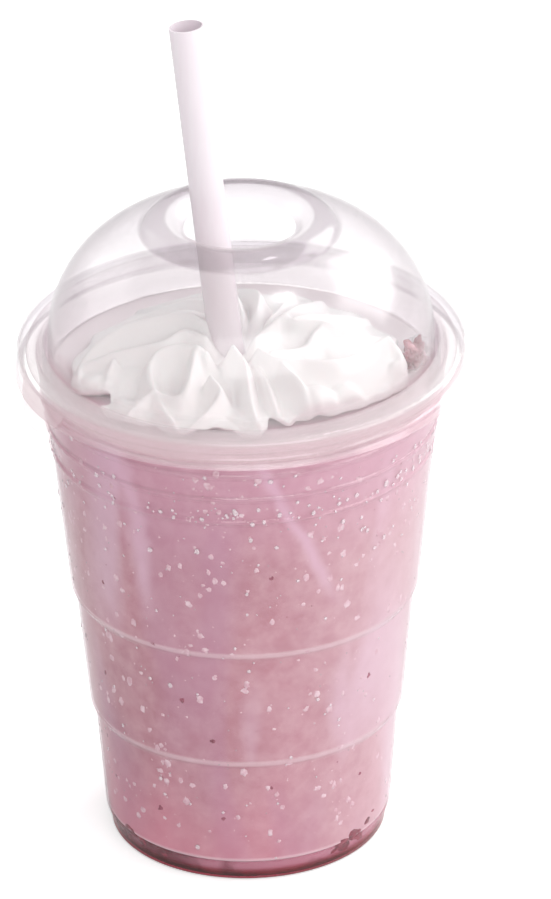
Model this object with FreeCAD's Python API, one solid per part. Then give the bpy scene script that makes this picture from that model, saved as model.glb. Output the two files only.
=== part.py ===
import FreeCAD, Part
import math
import os

# A strawberry milkshake in a clear cold-drink cup with a domed lid and a straw.
# All sizes are in millimetres. The origin is the centre of the ring that the cup
# stands on, +Z is up, and the front of the drink faces -Y.

# ---- the cup: one thin thermoformed shell ----
cup_height = 123.2          # table to the top of the rolled rim
cup_rim_radius = 49.2       # outer radius of the rolled rim
cup_bead_radius = 1.3       # radius of the roll itself
cup_wall = 0.5              # thickness of the shell
foot_ring_inner = 28.2      # the flat ring that touches the table
foot_ring_outer = 30.6
foot_corner = 1.1           # rounding between the ring and the foot band
foot_band_top = 4.8         # height of the step above the foot band
foot_band_radius = 32.4     # radius just under that step
foot_step = 0.5             # how far the wall steps out there
punt_height = 3.6           # how far the floor is pushed up
punt_slope = 1.2            # width of the slope round the pushed-up floor
low_shoulder_height = 31.0  # lower stacking shoulder: height, radius below, step
low_shoulder_radius = 35.0
high_shoulder_height = 61.2  # upper stacking shoulder
high_shoulder_radius = 38.9
shoulder_step = 1.15        # how far the wall steps out at each shoulder
shoulder_rise = 2.0         # height over which it steps out
rib_band_inset = 5.5        # how much narrower than the rim the ribbed band starts
rib_band_drop = 24.9        # that place, measured down from the rim's top
rib_proud = 0.5             # how far a rib stands out of the wall
rib_height = 1.9            # height of one rib
rib_pitch = 6.4             # from one rib to the next
rib_count = 3

# ---- the domed lid: one thin thermoformed shell snapped over the rim ----
lid_sheet = 0.4             # thickness of the lid
lid_seat_gap = 0.1          # lid to rim, where it rests on the rolled rim
lid_snap_gap = 0.25         # lid to cup, at the snap groove and inside the mouth
plug_depth = 7.8            # how far the lid's plug reaches down into the mouth
plug_fold = 0.9             # clear width inside the folded plug wall
skirt_room = 1.6            # from the rolled rim out to the skirt
skirt_depth = 6.6           # rim channel's top down to the skirt's edge
skirt_corner = 1.2          # rounding between the channel's top and the skirt
skirt_lip = 0.6             # how far the skirt's edge flares out
groove_height = 2.4         # height of the groove that snaps under the rolled rim
groove_drop = 4.1           # its middle, measured down from the channel's top
dome_bend = 28.3            # radius of the dome's shoulder
dome_rise = 1.7             # dome centre of curvature above the rim's top
crater_radius = 22.9        # crease where the dome ends and the raised ring starts
crown_radius = 17.0         # top of the raised ring round the hole
crown_rise = 2.8            # how far it stands above the crease
straw_hole_radius = 12.7    # the hole in the middle of the raised ring
tab_angle = 207.0           # where the lifting tab is, degrees from +X
tab_width = 22.0            # along the skirt
tab_reach = 2.2             # how far it stands out of the skirt
tab_drop = 3.0              # how far it hangs below the skirt

# ---- the straw: a wide smoothie straw that stands on the cup's floor ----
straw_radius = 4.0
straw_wall = 0.4
straw_stand = 44.4          # how far its top stands above the lid
straw_foot_reach = 12.4     # where its axis meets the floor: distance from the cup's axis
straw_foot_angle = -46.0    # and direction, degrees from +X
straw_edge_gap = 1.4        # straw to the edge of the lid's hole, where it leans nearest
straw_edge_angle = 154.0    # direction of that place
straw_lift = 0.1            # lowest point of the straw above the cup's floor

# ---- the food ----
drink_gap = 0.05            # drink to cup wall
drink_drop = 0.4            # surface of the milkshake, below the lid's plug
syrup_depth = 0.9           # dark strawberry syrup over the cup's floor
cream_edge_gap = 7.5        # piped cream: its mean outline to the lid's plug
cream_height = 16.2         # its mean height above the drink
cream_folds = 12            # ridges left by the star nozzle
cream_fold_depth = 5.2      # how deep they are at the outline
cream_twist = 34.0          # degrees that a ridge turns on its way down
cream_unevenness = 1.6      # slow rise and fall of the piped mass
cream_shift = 3.0           # how far the piped mass lies towards the back
berry_angle = 6.0           # small strawberry piece beside the cream
berry_length = 7.2
berry_width = 5.0
berry_height = 6.0
berry_clearance = 0.4       # berry to the lid's plug and to the cream

# ---- places worked out from the sizes above ----
mouth_radius = cup_rim_radius - 2 * cup_bead_radius
bead_centre_height = cup_height - cup_bead_radius
rib_band_height = cup_height - rib_band_drop
rib_band_radius = cup_rim_radius - rib_band_inset
floor_height = punt_height + cup_wall


def wall_radius(height):
    """Outer radius of the ribbed band's plain wall, up to the mouth."""
    share = (height - rib_band_height) / (bead_centre_height - rib_band_height)
    return rib_band_radius + share * (mouth_radius + cup_wall - rib_band_radius)


channel_top = cup_height + lid_seat_gap + lid_sheet
skirt_radius = cup_rim_radius + skirt_room + lid_sheet
groove_radius = cup_rim_radius + lid_snap_gap + lid_sheet
plug_foot = cup_height - plug_depth
plug_room = min(wall_radius(plug_foot) - cup_wall, mouth_radius)
plug_outer_radius = plug_room - lid_snap_gap - lid_sheet
plug_radius = plug_outer_radius - plug_fold
dome_centre_height = cup_height + dome_rise
dome_centre_radius = plug_radius - dome_bend
crease_height = dome_centre_height + math.sqrt(
    dome_bend ** 2 - (crater_radius - dome_centre_radius) ** 2)
straw_top = crease_height + crown_rise + straw_stand
drink_level = plug_foot - lid_sheet - drink_drop
syrup_level = floor_height + syrup_depth
cream_radius = plug_radius - lid_sheet - cream_edge_gap

UP = FreeCAD.Vector(0, 0, 1)
ORIGIN = FreeCAD.Vector(0, 0, 0)


def at(radius, height):
    """A point of a turned outline, in the XZ half-plane."""
    return FreeCAD.Vector(radius, 0, height)


def around_axis(radius, degrees, height):
    """A point at a distance and a direction from the cup's axis."""
    angle = math.radians(degrees)
    return FreeCAD.Vector(radius * math.cos(angle), radius * math.sin(angle), height)


def path_wire(start, steps):
    """An open outline: each step is an end point, or (middle, end) of an arc."""
    edges = []
    here = start
    for step in steps:
        if isinstance(step[0], tuple):
            middle, end = step
            edges.append(Part.Arc(at(*here), at(*middle), at(*end)).toShape())
        else:
            end = step
            edges.append(Part.makeLine(at(*here), at(*end)))
        here = end
    return Part.Wire(edges)


def turned(face):
    """The face turned once round the cup's axis."""
    return face.revolve(ORIGIN, UP, 360)


def sheet(wire, thickness):
    """A turned shell: the wire, thickened to its left, or to its right if negative."""
    return turned(wire.makeOffset2D(thickness, join=2, fill=True, openResult=True))


# ---------------------------------------------------------------- cup
def rib(middle_height):
    """One rib: out along an arc and back to the wall."""
    low = middle_height - rib_height / 2
    high = middle_height + rib_height / 2
    crest = (wall_radius(middle_height) + rib_proud, middle_height)
    return [(wall_radius(low), low), (crest, (wall_radius(high), high))]


def shoulder(radius, height):
    """A stacking shoulder: the wall steps out over a short rise."""
    return [(radius, height), (radius + shoulder_step, height + shoulder_rise)]


def cup_wire():
    """The cup's outer side, from the middle of its floor to the rolled rim."""
    slope_foot = foot_ring_inner
    corner_low = (foot_ring_outer, 0.0)
    corner_mid = (foot_ring_outer + 0.7 * foot_corner, 0.3 * foot_corner)
    corner_high = (foot_ring_outer + foot_corner, foot_corner)
    step_low = (foot_band_radius, foot_band_top)
    step_high = (foot_band_radius + foot_step, foot_band_top + foot_step)
    steps = [(slope_foot - punt_slope, punt_height)]
    steps += [(slope_foot, 0.0)]
    steps += [corner_low]
    steps += [(corner_mid, corner_high)]
    steps += [step_low, step_high]
    steps += shoulder(low_shoulder_radius, low_shoulder_height)
    steps += shoulder(high_shoulder_radius, high_shoulder_height)
    for number in range(rib_count):
        steps += rib(rib_band_height + rib_height / 2 + number * rib_pitch)
    steps += [(mouth_radius + cup_wall, bead_centre_height)]
    return path_wire((0.0, punt_height), steps)


def make_cup():
    shell = sheet(cup_wire(), cup_wall)
    bead = Part.makeTorus(cup_rim_radius - cup_bead_radius, cup_bead_radius,
                          at(0, bead_centre_height), UP)
    return shell.fuse(bead).removeSplitter()


def make_cavity():
    """What the cup holds, a hair inside its wall, up to the rim."""
    inner = cup_wire().makeOffset2D(cup_wall + drink_gap, join=2, openResult=True)
    points = [vertex.Point for vertex in inner.OrderedVertexes]
    low = min(points, key=lambda point: point.x)
    high = max(points, key=lambda point: point.z)
    top = at(0, high.z)
    edges = list(inner.Edges)
    edges.append(Part.makeLine(high, top))
    edges.append(Part.makeLine(top, low))
    outline = Part.Wire(Part.__sortEdges__(edges))
    return turned(Part.Face(outline))


# ---------------------------------------------------------------- lid
def lid_wire():
    """The lid's outer side, from the straw hole out and down to the skirt."""
    crown_top = (crown_radius, crease_height + crown_rise)
    bend = 0.55 * math.acos((crater_radius - dome_centre_radius) / dome_bend)
    dome_mid = (dome_centre_radius + dome_bend * math.cos(bend),
                dome_centre_height + dome_bend * math.sin(bend))
    fold = plug_fold / 2
    groove_mid = channel_top - groove_drop
    groove_top = groove_mid + groove_height / 2
    groove_low = groove_mid - groove_height / 2
    steps = [(crown_top, (crater_radius, crease_height))]
    steps += [(dome_mid, (plug_radius, dome_centre_height))]
    steps += [(plug_radius, plug_foot + fold)]
    steps += [((plug_radius + fold, plug_foot), (plug_outer_radius, plug_foot + fold))]
    steps += [(plug_outer_radius, channel_top)]
    steps += [(skirt_radius - skirt_corner, channel_top)]
    steps += [((skirt_radius - 0.3 * skirt_corner, channel_top - 0.3 * skirt_corner),
               (skirt_radius, channel_top - skirt_corner))]
    steps += [(skirt_radius, groove_top)]
    steps += [((groove_radius, groove_mid), (skirt_radius, groove_low))]
    steps += [(skirt_radius + skirt_lip, channel_top - skirt_depth)]
    return path_wire((straw_hole_radius, crease_height), steps)


def make_tab():
    """The thumb tab: a rounded lobe on the skirt that leans out and down."""
    low = channel_top - skirt_depth - tab_drop
    high = channel_top - skirt_corner - lid_sheet
    outside = [at(skirt_radius, high), at(skirt_radius + tab_reach, low)]
    inside = [at(point.x - lid_sheet, point.z) for point in reversed(outside)]
    band = turned(Part.Face(Part.makePolygon(outside + inside + outside[:1])))
    lobe = Part.makeCylinder(tab_width / 2, 2 * tab_width,
                             FreeCAD.Vector(cup_rim_radius - tab_width, 0, low + tab_width / 2),
                             FreeCAD.Vector(1, 0, 0))
    tab = band.common(lobe)
    tab.rotate(ORIGIN, UP, tab_angle)
    return tab


def make_lid():
    shell = sheet(lid_wire(), -lid_sheet)
    return shell.fuse(make_tab())


# ---------------------------------------------------------------- straw
def straw_line():
    """The lowest point of the straw's axis and the direction it rises in."""
    edge_reach = straw_hole_radius - straw_edge_gap - straw_radius
    foot = around_axis(straw_foot_reach, straw_foot_angle, floor_height)
    hole = around_axis(edge_reach, straw_edge_angle, crease_height)
    rise = hole - foot
    rise.normalize()
    lean = math.sqrt(rise.x ** 2 + rise.y ** 2)
    lift = (straw_radius * lean + straw_lift) / rise.z
    return foot + rise * lift, rise


def straw_rod(radius, below=0.0):
    foot, rise = straw_line()
    length = (straw_top - foot.z) / rise.z
    return Part.makeCylinder(radius, length + below, foot - rise * below, rise)


def make_straw():
    return straw_rod(straw_radius).cut(straw_rod(straw_radius - straw_wall, below=1.0))


# ---------------------------------------------------------------- food
def slab(low, high):
    """A block wider than the cup between two heights."""
    width = 4 * cup_rim_radius
    return Part.makeBox(width, width, high - low,
                        FreeCAD.Vector(-width / 2, -width / 2, low))


def make_syrup(cavity):
    """The syrup that lies in the foot and over the floor, cut round the straw."""
    layer = cavity.common(slab(0.0, syrup_level))
    return layer.cut(straw_rod(straw_radius, below=straw_radius))


def make_milkshake(cavity):
    """The drink from the syrup up to its level, cut round the straw."""
    drink = cavity.common(slab(syrup_level, drink_level))
    return drink.cut(straw_rod(straw_radius, below=straw_radius))


def straw_at(height):
    """The straw's axis at a height."""
    foot, rise = straw_line()
    return foot + rise * ((height - foot.z) / rise.z)


def berry_seat_radius():
    """Radius of the berry piece's middle, between the plug and the cream."""
    return plug_radius - lid_sheet - berry_clearance - berry_width / 2


def cream_outline(angle):
    """Reach of the cream's edge from the cup's axis in a direction."""
    slow = 0.035 * math.sin(angle + 2.6) + 0.025 * math.sin(2 * angle + 0.4)
    reach = cream_radius * (1 + slow)
    away = math.atan2(math.sin(angle - math.radians(berry_angle)),
                      math.cos(angle - math.radians(berry_angle)))
    notch_reach = berry_seat_radius() - berry_width / 2 - berry_clearance
    notch = math.exp(-(away * reach / (0.75 * berry_length)) ** 2)
    return reach + notch * (notch_reach - cream_fold_depth - reach)


def cream_point(angle, share, centre):
    """A pole of the piped surface: share runs from 0 at the straw to 1 at the edge."""
    out = math.sin(share * math.pi / 2)
    fall = math.cos(share * math.pi / 2) if share < 1 else 0.0
    twisted = angle + math.radians(cream_twist) * share
    fold = 1 - 2 * abs(math.sin(cream_folds * twisted / 2)) ** 0.7
    deep = cream_fold_depth * out
    reach = (cream_outline(angle) + 0.5 * deep * fold) * out ** 0.85
    lobes = math.sin(2 * angle + 0.7) + 0.6 * math.sin(3 * angle - 1.1)
    tall = cream_height + cream_unevenness * lobes * out - 1.5 * (1 - share)
    height = tall * fall ** 0.62 + 0.5 * deep * fold * fall ** 0.3
    x = centre.x * (1 - out) + reach * math.cos(angle)
    y = centre.y * (1 - out) + reach * math.sin(angle) + cream_shift * out
    return FreeCAD.Vector(x, y, drink_level + max(height, 0.0))


def closed_surface(grid):
    """A smooth surface over rings of poles: closed round the rings, open along them."""
    around = len(grid)
    along = len(grid[0])
    surface = Part.BSplineSurface()
    surface.buildFromPolesMultsKnots(
        grid,
        [1] * (around + 1), [4] + [1] * (along - 4) + [4],
        list(range(around + 1)), list(range(along - 2)),
        True, False, 3, 3)
    return surface.toShape()


def core_ring(height, around):
    """A ring of poles inside the straw, where the straw is cut out afterwards."""
    centre = straw_at(height)
    ring = []
    for turn in range(around):
        angle = 2 * math.pi * turn / around
        reach = FreeCAD.Vector(math.cos(angle), math.sin(angle), 0) * (straw_radius / 2)
        ring.append(centre + reach)
    return ring


def make_cream():
    """Whipped cream piped round the straw: one mass with twisted star-nozzle folds."""
    around = 8 * cream_folds
    rings = 16
    crest = drink_level + cream_height
    centre = straw_at(crest)
    angles = [2 * math.pi * turn / around for turn in range(around)]
    shares = [(ring + 1) / rings for ring in range(rings)]
    core = [core_ring(drink_level, around), core_ring(crest - 2.0, around)]
    grid = []
    for turn, angle in enumerate(angles):
        line = [ring[turn] for ring in core]
        line += [cream_point(angle, share, centre) for share in shares]
        grid.append(line)
    top = closed_surface(grid)
    rims = [Part.Wire([edge]) for edge in top.Edges if edge.isClosed()]
    underside = Part.makeFace(rims, "Part::FaceMakerBullseye")
    shell = Part.makeShell([top, underside])
    shell.sewShape()
    solid = Part.Solid(shell)
    if solid.Volume < 0:
        solid.reverse()
    return solid.cut(straw_rod(straw_radius))


def make_berry_piece():
    """A small cut piece of strawberry: a rounded wedge that lies on the drink."""
    points = []
    rows = 5
    for row in range(rows):
        share = row / (rows - 1)
        wide = 1 - 0.45 * share ** 2
        ring = []
        for turn in range(10):
            angle = 2 * math.pi * turn / 10
            bump = 1 + 0.1 * math.sin(3 * angle + 2 * share)
            x = berry_width / 2 * wide * bump * math.cos(angle) / 1.1
            y = berry_length / 2 * wide * bump * math.sin(angle) / 1.1
            ring.append(FreeCAD.Vector(x, y, berry_height * share))
        points.append(ring)
    wires = []
    for ring in points:
        curve = Part.BSplineCurve()
        curve.interpolate(Points=ring, PeriodicFlag=True)
        wires.append(Part.Wire([curve.toShape()]))
    piece = Part.makeLoft(wires, True)
    piece.translate(FreeCAD.Vector(berry_seat_radius(), 0, drink_level))
    piece.rotate(ORIGIN, UP, berry_angle)
    return piece


def main():
    cavity = make_cavity()
    nodes = {
        "cup": make_cup(),
        "dome_lid": make_lid(),
        "straw": make_straw(),
        "strawberry_syrup": make_syrup(cavity),
        "milkshake": make_milkshake(cavity),
        "whipped_cream": make_cream(),
        "strawberry_piece": make_berry_piece(),
    }
    os.makedirs("parts", exist_ok=True)
    for name, shape in nodes.items():
        shape.exportStep("parts/" + name + ".step")
        print(name, "solids", len(shape.Solids), "valid", shape.isValid(),
              "volume", round(shape.Volume / 1000, 2), "cm3")


main()
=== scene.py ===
# %% [markdown]
# # A strawberry milkshake to go
# The drink stands in a clear thermoformed cup with a domed lid. A wide straw goes
# down through the lid's hole, and piped whipped cream lies on the pink shake.
# The cup, the lid and the straw keep the bodies that they were designed with. The
# drink, the cream and everything loose are modelled here, in metres, round them.

# %% Load the frame
import math
import random
import bpy
import bmesh
from mathutils import Matrix, Vector, noise
from mathutils.bvhtree import BVHTree


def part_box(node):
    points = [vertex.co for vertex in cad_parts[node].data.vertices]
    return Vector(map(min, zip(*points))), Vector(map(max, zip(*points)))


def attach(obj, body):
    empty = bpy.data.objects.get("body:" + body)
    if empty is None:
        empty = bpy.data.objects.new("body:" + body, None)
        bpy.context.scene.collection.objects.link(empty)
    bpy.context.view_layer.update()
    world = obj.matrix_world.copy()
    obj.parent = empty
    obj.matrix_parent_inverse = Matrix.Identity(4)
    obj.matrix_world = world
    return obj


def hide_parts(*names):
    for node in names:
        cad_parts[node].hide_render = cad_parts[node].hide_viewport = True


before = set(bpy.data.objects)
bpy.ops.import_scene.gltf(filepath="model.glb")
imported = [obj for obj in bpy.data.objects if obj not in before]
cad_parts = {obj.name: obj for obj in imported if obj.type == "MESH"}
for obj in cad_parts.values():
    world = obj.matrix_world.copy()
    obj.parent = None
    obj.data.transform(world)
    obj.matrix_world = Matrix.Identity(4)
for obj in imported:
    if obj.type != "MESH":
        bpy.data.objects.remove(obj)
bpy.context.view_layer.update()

MM = 0.001
scene = bpy.context.scene

# %% [markdown]
# Colours are written as sRGB hex values, as on a paint card. Blender's shaders
# want linear light, so one function turns them over. A pattern's scale is worked
# out from a size on the real thing, in millimetres. One more function adds a node
# with its settings and links, which keeps every material below short.

# %% Helpers for every material
def linear(code):
    """An sRGB hex colour as linear red, green, blue and alpha."""
    parts = [int(code[i:i + 2], 16) / 255 for i in (1, 3, 5)]
    return tuple(c / 12.92 if c <= 0.04045 else ((c + 0.055) / 1.055) ** 2.4
                 for c in parts) + (1.0,)


def every(size):
    """The scale of a noise whose grain is so many millimetres across."""
    return 1 / (size * MM)


def add(tree, kind, settings=None, links=None):
    """A new node. Settings go to its inputs or, failing that, to the node itself."""
    node = tree.nodes.new(kind)
    for key, value in (settings or {}).items():
        if isinstance(key, str) and hasattr(node, key):
            setattr(node, key, value)
        else:
            node.inputs[key].default_value = value
    for key, socket in (links or {}).items():
        tree.links.new(socket, node.inputs[key])
    return node


def new_material(name):
    """An empty node material and its output node."""
    material = bpy.data.materials.new(name)
    material.use_nodes = True
    material.node_tree.nodes.clear()
    return material, material.node_tree, add(material.node_tree, "ShaderNodeOutputMaterial")


# %% [markdown]
# The camera is a long lens nearly three metres away, looking down at the drink by
# 28 degrees, as a standing customer sees it on a counter. It is turned by its own
# three axes, so its yaw and its slight roll can be set one by one.

# %% Camera
CAMERA_PLACE = Vector((0.0, -2.5, 1.4121))
CAMERA_PITCH, CAMERA_YAW, CAMERA_ROLL = (math.radians(a) for a in (27.78, 0.17, 0.80))
LENS, SENSOR = 494.8, 36.0      # millimetres
forward = Vector((math.sin(CAMERA_YAW) * math.cos(CAMERA_PITCH),
                  math.cos(CAMERA_YAW) * math.cos(CAMERA_PITCH),
                  -math.sin(CAMERA_PITCH)))
level_right = Vector((math.cos(CAMERA_YAW), -math.sin(CAMERA_YAW), 0.0))
level_down = forward.cross(level_right)
right = math.cos(CAMERA_ROLL) * level_right + math.sin(CAMERA_ROLL) * level_down
down = -math.sin(CAMERA_ROLL) * level_right + math.cos(CAMERA_ROLL) * level_down
lens = bpy.data.cameras.new("counter_camera")
lens.lens, lens.sensor_width = LENS, SENSOR
lens.clip_end = 100.0
camera = bpy.data.objects.new("counter_camera", lens)
turn = Matrix((right, -down, -forward)).transposed()
camera.matrix_world = Matrix.Translation(CAMERA_PLACE) @ turn.to_4x4()
scene.collection.objects.link(camera)
scene.camera = camera
scene.view_settings.view_transform = "Standard"
print("camera is", round(CAMERA_PLACE.length, 2), "m from the cup's foot")

# %% [markdown]
# A clear cup shows what stands round it, so the studio is a bright white room: a
# white floor, a white world, and large soft lamps. The floor takes a soft shadow.
# Rays from the camera, and rays seen through the plastic, get a little light of
# the floor's own, so that it reads as plain white paper.

# %% Paper floor
FLOOR_HALF = 3.0
FLOOR_GLOW = 0.42
floor_mesh = bpy.data.meshes.new("paper_floor")
floor_mesh.from_pydata([(x * FLOOR_HALF, y * FLOOR_HALF, 0.0)
                        for x, y in ((-1, -1), (1, -1), (1, 1), (-1, 1))], [], [(0, 1, 2, 3)])
floor = bpy.data.objects.new("paper_floor", floor_mesh)
scene.collection.objects.link(floor)
paper, tree, out = new_material("white_studio_paper")
path = add(tree, "ShaderNodeLightPath")
seen = add(tree, "ShaderNodeMath", {"operation": "MAXIMUM"},
           {0: path.outputs["Is Camera Ray"], 1: path.outputs["Is Transmission Ray"]})
glow = add(tree, "ShaderNodeMath", {"operation": "MULTIPLY", 1: FLOOR_GLOW}, {0: seen.outputs[0]})
fibres = add(tree, "ShaderNodeTexNoise", {"Scale": 900.0, "Detail": 3.0})    # 900 grains along the sheet
tone = add(tree, "ShaderNodeMix", {"data_type": "RGBA", 6: linear("#F0F0F0"), 7: linear("#F4F4F4")},
           {0: fibres.outputs["Fac"]})
matt = add(tree, "ShaderNodeBsdfDiffuse", None, {"Color": tone.outputs[2]})
shine = add(tree, "ShaderNodeEmission", {"Color": (1, 1, 1, 1)}, {"Strength": glow.outputs[0]})
both = add(tree, "ShaderNodeAddShader", None, {0: matt.outputs[0], 1: shine.outputs[0]})
tree.links.new(both.outputs[0], out.inputs["Surface"])
floor_mesh.materials.append(paper)
print("floor is", 2 * FLOOR_HALF, "m square")

# %% [markdown]
# The world lights the drink at a plain level. What is seen directly or through the
# plastic is pure white, and what is mirrored lies half-way between the two.

# %% White room
ROOM_LIGHT, ROOM_SEEN = 0.62, 1.0
MIRRORED_SHARE = 0.5
world = bpy.data.worlds.new("white_room")
scene.world = world
world.use_nodes = True
tree = world.node_tree
tree.nodes.clear()
path = add(tree, "ShaderNodeLightPath")
seen = add(tree, "ShaderNodeMath", {"operation": "MAXIMUM"},
           {0: path.outputs["Is Camera Ray"], 1: path.outputs["Is Transmission Ray"]})
mirrored = add(tree, "ShaderNodeMath", {"operation": "MULTIPLY", 1: MIRRORED_SHARE},
               {0: path.outputs["Is Glossy Ray"]})
seen = add(tree, "ShaderNodeMath", {"operation": "MAXIMUM"}, {0: seen.outputs[0], 1: mirrored.outputs[0]})
strength = add(tree, "ShaderNodeMapRange", {"To Min": ROOM_LIGHT, "To Max": ROOM_SEEN},
               {"Value": seen.outputs[0]})
room = add(tree, "ShaderNodeBackground", {"Color": (1, 1, 1, 1)}, {"Strength": strength.outputs[0]})
add(tree, "ShaderNodeOutputWorld", None, {"Surface": room.outputs[0]})
print("world lights at", ROOM_LIGHT)

# %% [markdown]
# Five soft boxes: a large key to the right and behind, which also shows as a window
# in the dome, one low at the right, a wide one in front, a weak fill to the left,
# and a small one overhead. They are rectangles, as windows and soft boxes are, so
# their reflections in the plastic have straight sides.

# %% Lamps
WINDOWS = [     # name, place, width, height, watts
    ("key_window", (1.35, 0.85, 1.15), 1.5, 1.2, 20.0),
    ("side_window", (1.75, -0.55, 0.8), 1.0, 1.5, 10.0),
    ("front_window", (0.4, -1.9, 1.5), 2.0, 1.6, 19.0),
    ("fill_window", (-1.33, 1.0, 1.0), 1.2, 1.0, 3.0),
    ("overhead_window", (0.50, 0.12, 1.85), 0.3, 0.22, 2.5),
]
MIDDLE_OF_DRINK = Vector((0.0, 0.0, 0.09))
for name, place, width, height, watts in WINDOWS:
    lamp = bpy.data.lights.new(name, "AREA")
    lamp.shape = "RECTANGLE"
    lamp.size, lamp.size_y = width, height
    lamp.energy = watts
    box = bpy.data.objects.new(name, lamp)
    box.location = place
    box.rotation_euler = (MIDDLE_OF_DRINK - Vector(place)).to_track_quat("-Z", "Y").to_euler()
    scene.collection.objects.link(box)
# A ray meets many clear walls, drops and folds of the lid on its way.
scene.cycles.transparent_max_bounces = 48
print(len(WINDOWS), "lamps,", sum(w[4] for w in WINDOWS), "watts")

# %% [markdown]
# Clear PET is formed from a sheet under half a millimetre thick. So thin a wall
# does not bend what is seen through it, so it is not modelled as solid glass.
# It lets light through, tints it a little, more so where the eye meets the wall
# at a shallow angle, and mirrors the room by Fresnel's law at an index of 1.57.
# A trace of haze and a low wave stand for the flow lines of thermoforming.

# %% Thin clear plastic
PET_INDEX = 1.57
FLOW_LINES = 18.18          # millimetres from one to the next
EDGE_POWER = 3.4            # how late the tint sets in towards the wall's edge
MIRROR_POWER = 5.0          # Schlick's power, for the mirror at a shallow angle


def slant_tint(tree, face_on, edge_on):
    """A clear wall's tint: one colour seen face on, another at the edge."""
    slant = add(tree, "ShaderNodeLayerWeight", {"Blend": 0.5})
    edge = add(tree, "ShaderNodeMath", {"operation": "POWER", 1: EDGE_POWER}, {0: slant.outputs["Facing"]})
    tint = add(tree, "ShaderNodeMix", {"data_type": "RGBA", 6: linear(face_on), 7: linear(edge_on)},
               {0: edge.outputs[0]})
    return tint.outputs[2]


def thin_wall(tree, out, place, tint, haze_colour, haze, roughness):
    """Clear, faintly hazy and mirroring. Returns the haze's shader and its mixer."""
    flow = add(tree, "ShaderNodeTexNoise", {"Scale": every(FLOW_LINES), "Detail": 2.0},
               {"Vector": place.outputs["Object"]})
    bump = add(tree, "ShaderNodeBump", {"Strength": 0.12, "Distance": 0.4 * MM},
               {"Height": flow.outputs["Fac"]})
    clear = add(tree, "ShaderNodeBsdfTransparent", None, {"Color": tint})
    cloudy = add(tree, "ShaderNodeBsdfDiffuse", {"Color": linear(haze_colour)})
    hazy = add(tree, "ShaderNodeMixShader", {0: haze}, {1: clear.outputs[0], 2: cloudy.outputs[0]})
    lean = add(tree, "ShaderNodeLayerWeight", {"Blend": 0.5}, {"Normal": bump.outputs[0]})
    graze = add(tree, "ShaderNodeMath", {"operation": "POWER", 1: MIRROR_POWER}, {0: lean.outputs["Facing"]})
    head_on = ((PET_INDEX - 1) / (PET_INDEX + 1)) ** 2
    mirror = add(tree, "ShaderNodeMapRange", {"To Min": head_on, "To Max": 0.9}, {"Value": graze.outputs[0]})
    gloss = add(tree, "ShaderNodeBsdfGlossy", {"Color": (1, 1, 1, 1), "Roughness": roughness},
                {"Normal": bump.outputs[0]})
    sheet = add(tree, "ShaderNodeMixShader", None,
                {0: mirror.outputs[0], 1: hazy.outputs[0], 2: gloss.outputs[0]})
    tree.links.new(sheet.outputs[0], out.inputs["Surface"])
    return cloudy, hazy


# %% [markdown]
# The cup's foot ring is formed thicker than its wall, and bends the red of the syrup behind it into view.
# That red is painted on: the lowest two millimetres of the plastic are tinted with it, and the tint fades out
# over the next one.

# %% Cup
FOOT_RING_TOP = 2.0 * MM
cup_pet, tree, out = new_material("clear_PET_thermoformed_cup")
place = add(tree, "ShaderNodeTexCoord")
tint = slant_tint(tree, "#FDFCFC", "#E0D0D6")
apart = add(tree, "ShaderNodeSeparateXYZ", None, {0: place.outputs["Object"]})
low = add(tree, "ShaderNodeMapRange", {"From Min": FOOT_RING_TOP, "From Max": FOOT_RING_TOP + 1.2 * MM,
                                       "To Min": 1.0, "To Max": 0.0}, {"Value": apart.outputs[2]})
# Painted light: the syrup's red, bent into view by the thick foot ring, tints the plastic here.
painted_syrup_red = add(tree, "ShaderNodeMix", {"data_type": "RGBA", 7: linear("#C85F76")},
               {0: low.outputs[0], 6: tint})
thin_wall(tree, out, place, painted_syrup_red.outputs[2], "#F8F4F6", 0.02, 0.10)
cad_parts["cup"].material_slots[0].material = cup_pet
print("cup:", cup_pet.name)

# %% [markdown]
# The lid is drawn deeper than the cup, so it is hazier. It has three tints, each going by a place on the lid:
# a ring round the hole, where the sheet is folded, painted grey as painted shade for the darker things its
# slopes reflect and bend; a little grey over its far half, where cold air has misted it; and a milky skirt in
# front whose haze has the pink of the shake painted on, as painted light from the drink.

# %% Lid's tint, with painted shade on the ring
RING_INNER, RING_OUTER, RING_FADE = 17.3 * MM, 22.6 * MM, 0.8 * MM
lid_pet, tree, out = new_material("clear_PET_thermoformed_lid")
place = add(tree, "ShaderNodeTexCoord")
tint = slant_tint(tree, "#FCFBFB", "#E8E3E5")
apart = add(tree, "ShaderNodeSeparateXYZ", None, {0: place.outputs["Object"]})
flat = add(tree, "ShaderNodeCombineXYZ", None, {0: apart.outputs[0], 1: apart.outputs[1]})
reach = add(tree, "ShaderNodeVectorMath", {"operation": "LENGTH"}, {0: flat.outputs[0]})
inner = add(tree, "ShaderNodeMapRange", {"From Min": RING_INNER - RING_FADE, "From Max": RING_INNER},
            {"Value": reach.outputs["Value"]})
outer = add(tree, "ShaderNodeMapRange", {"From Min": RING_OUTER, "From Max": RING_OUTER + RING_FADE,
                                         "To Min": 1.0, "To Max": 0.0}, {"Value": reach.outputs["Value"]})
band = add(tree, "ShaderNodeMath", {"operation": "MULTIPLY"}, {0: inner.outputs[0], 1: outer.outputs[0]})
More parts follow.
